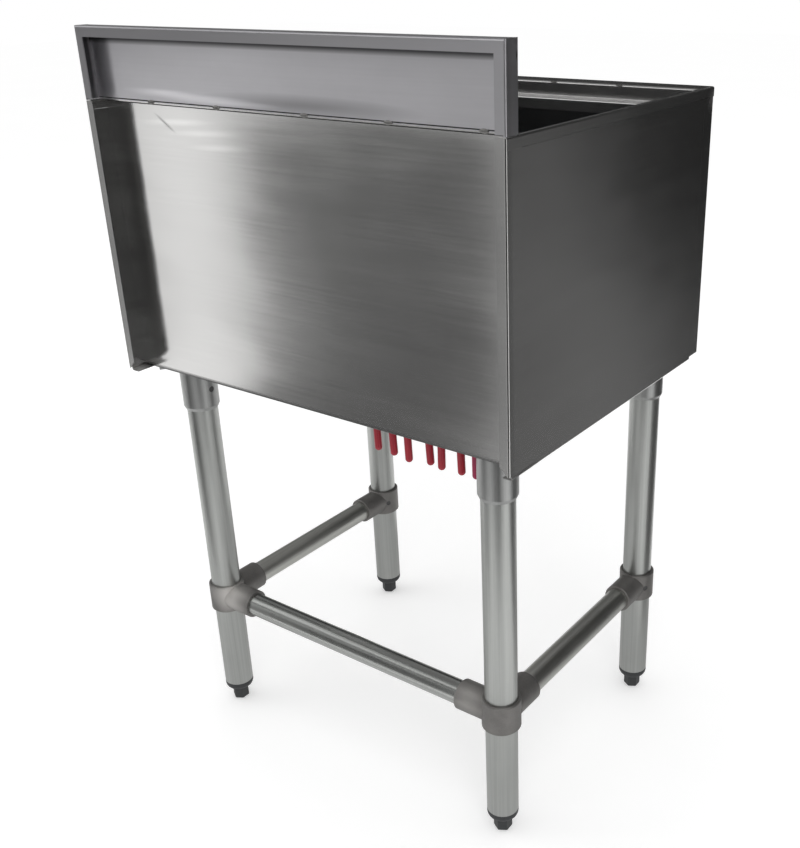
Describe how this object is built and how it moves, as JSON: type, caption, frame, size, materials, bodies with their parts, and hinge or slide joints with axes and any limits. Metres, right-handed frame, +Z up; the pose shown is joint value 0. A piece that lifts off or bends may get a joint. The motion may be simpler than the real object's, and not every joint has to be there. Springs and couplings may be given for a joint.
{
  "type": "underbar ice bin",
  "caption": "Free-standing stainless ice bin with a backsplash, an insulated well over a cold plate with capped beverage lines, and tubular legs with stretchers and adjustable feet.",
  "frame": {"origin": "on the floor at the centre of the footprint, under the centre of the body", "axes": "+Z up, +Y towards the backsplash and the wall, -Y towards the user, +X to the user's right"},
  "size_m": [0.61, 0.457, 0.98],
  "materials": {
    "stainless_top": "ground and brushed stainless steel with weld marks",
    "stainless_panel": "brushed stainless sheet with a fine horizontal grain",
    "stainless_pan": "mill-finish stainless sheet",
    "stainless_well": "satin stainless with coved corners",
    "foam": "rigid foam, hidden between the well and the shell",
    "cast_aluminium_plate": "sand-cast, dull",
    "line_tube": "drawn stainless tube",
    "seal_rubber": "moulded rubber",
    "drain_steel": "turned and polished",
    "nut_brass": "machined",
    "red_vinyl": "glossy dip-moulded vinyl",
    "socket_steel": "satin steel with a weld heat tint",
    "tube_steel": "satin drawn tube with long streaks",
    "foot_grey": "moulded grey plastic",
    "cast_collar": "rough die-cast, dull grey-brown",
    "screw_black": "blackened set screws"
  },
  "bodies": {
    "bin": {"top_rim": "stainless_top", "backsplash": "stainless_top", "splash_end_left": "stainless_top", "splash_end_right": "stainless_top", "rear_panel": "stainless_panel", "side_panel_left": "stainless_panel", "side_panel_right": "stainless_panel", "front_apron": "stainless_panel", "bottom_pan": "stainless_pan", "ice_well": "stainless_well", "foam_insulation": "foam", "cold_plate": "cast_aluminium_plate", "inlet_lines": "line_tube", "outlet_lines": "line_tube", "line_seal": "seal_rubber", "drain_gasket": "seal_rubber", "drain_fitting": "drain_steel", "drain_locknut": "nut_brass", "leg_gusset_rear_left": "socket_steel", "leg_gusset_rear_right": "socket_steel", "leg_gusset_front_left": "socket_steel", "leg_gusset_front_right": "socket_steel", "leg_rear_left": "tube_steel", "leg_rear_right": "tube_steel", "leg_front_left": "tube_steel", "leg_front_right": "tube_steel", "stretcher_rear": "tube_steel", "stretcher_left": "tube_steel", "stretcher_right": "tube_steel", "foot_insert_rear_left": "foot_grey", "foot_insert_rear_right": "foot_grey", "foot_insert_front_left": "foot_grey", "foot_insert_front_right": "foot_grey", "collar_rear_left": "cast_collar", "collar_rear_right": "cast_collar", "collar_front_left": "cast_collar", "collar_front_right": "cast_collar", "gusset_screws": "screw_black", "collar_screws": "screw_black"},
    "foot_rear_left": {"foot_rear_left": "foot_grey"},
    "foot_rear_right": {"foot_rear_right": "foot_grey"},
    "foot_front_left": {"foot_front_left": "foot_grey"},
    "foot_front_right": {"foot_front_right": "foot_grey"},
    "inlet_cap_1": {"inlet_cap_1": "red_vinyl"},
    "inlet_cap_2": {"inlet_cap_2": "red_vinyl"},
    "inlet_cap_3": {"inlet_cap_3": "red_vinyl"},
    "inlet_cap_4": {"inlet_cap_4": "red_vinyl"},
    "inlet_cap_5": {"inlet_cap_5": "red_vinyl"},
    "inlet_cap_6": {"inlet_cap_6": "red_vinyl"},
    "inlet_cap_7": {"inlet_cap_7": "red_vinyl"},
    "outlet_cap_1": {"outlet_cap_1": "red_vinyl"},
    "outlet_cap_2": {"outlet_cap_2": "red_vinyl"},
    "outlet_cap_3": {"outlet_cap_3": "red_vinyl"},
    "outlet_cap_4": {"outlet_cap_4": "red_vinyl"},
    "outlet_cap_5": {"outlet_cap_5": "red_vinyl"},
    "outlet_cap_6": {"outlet_cap_6": "red_vinyl"},
    "outlet_cap_7": {"outlet_cap_7": "red_vinyl"},
    "drain_strainer": {"drain_strainer": "drain_steel"}
  },
  "joints": [
    {"name": "foot_rear_left_height", "type": "slide", "parent": "bin", "child": "foot_rear_left", "axis": [0, 0, -1], "range_m": [0, 0.025]},
    {"name": "foot_rear_right_height", "type": "slide", "parent": "bin", "child": "foot_rear_right", "axis": [0, 0, -1], "range_m": [0, 0.025]},
    {"name": "foot_front_left_height", "type": "slide", "parent": "bin", "child": "foot_front_left", "axis": [0, 0, -1], "range_m": [0, 0.025]},
    {"name": "foot_front_right_height", "type": "slide", "parent": "bin", "child": "foot_front_right", "axis": [0, 0, -1], "range_m": [0, 0.025]},
    {"name": "inlet_cap_1_off", "type": "slide", "parent": "bin", "child": "inlet_cap_1", "axis": [-0.0262, 0, -0.9997], "range_m": [0, 0.035]},
    {"name": "inlet_cap_2_off", "type": "slide", "parent": "bin", "child": "inlet_cap_2", "axis": [-0.0436, 0, -0.999], "range_m": [0, 0.035]},
    {"name": "inlet_cap_3_off", "type": "slide", "parent": "bin", "child": "inlet_cap_3", "axis": [-0.0262, 0, -0.9997], "range_m": [0, 0.035]},
    {"name": "inlet_cap_4_off", "type": "slide", "parent": "bin", "child": "inlet_cap_4", "axis": [-0.0523, 0, -0.9986], "range_m": [0, 0.035]},
    {"name": "inlet_cap_5_off", "type": "slide", "parent": "bin", "child": "inlet_cap_5", "axis": [0.0175, 0, -0.9998], "range_m": [0, 0.035]},
    {"name": "inlet_cap_6_off", "type": "slide", "parent": "bin", "child": "inlet_cap_6", "axis": [-0.0262, 0, -0.9997], "range_m": [0, 0.035]},
    {"name": "inlet_cap_7_off", "type": "slide", "parent": "bin", "child": "inlet_cap_7", "axis": [0, 0, -1], "range_m": [0, 0.035]},
    {"name": "outlet_cap_1_off", "type": "slide", "parent": "bin", "child": "outlet_cap_1", "axis": [0, 0, -1], "range_m": [0, 0.035]},
    {"name": "outlet_cap_2_off", "type": "slide", "parent": "bin", "child": "outlet_cap_2", "axis": [0, 0, -1], "range_m": [0, 0.035]},
    {"name": "outlet_cap_3_off", "type": "slide", "parent": "bin", "child": "outlet_cap_3", "axis": [0, 0, -1], "range_m": [0, 0.035]},
    {"name": "outlet_cap_4_off", "type": "slide", "parent": "bin", "child": "outlet_cap_4", "axis": [0, 0, -1], "range_m": [0, 0.035]},
    {"name": "outlet_cap_5_off", "type": "slide", "parent": "bin", "child": "outlet_cap_5", "axis": [0, 0, -1], "range_m": [0, 0.035]},
    {"name": "outlet_cap_6_off", "type": "slide", "parent": "bin", "child": "outlet_cap_6", "axis": [0, 0, -1], "range_m": [0, 0.035]},
    {"name": "outlet_cap_7_off", "type": "slide", "parent": "bin", "child": "outlet_cap_7", "axis": [0, 0, -1], "range_m": [0, 0.035]},
    {"name": "strainer_lift", "type": "slide", "parent": "bin", "child": "drain_strainer", "axis": [0, 0, 1], "range_m": [0, 0.08]}
  ]
}
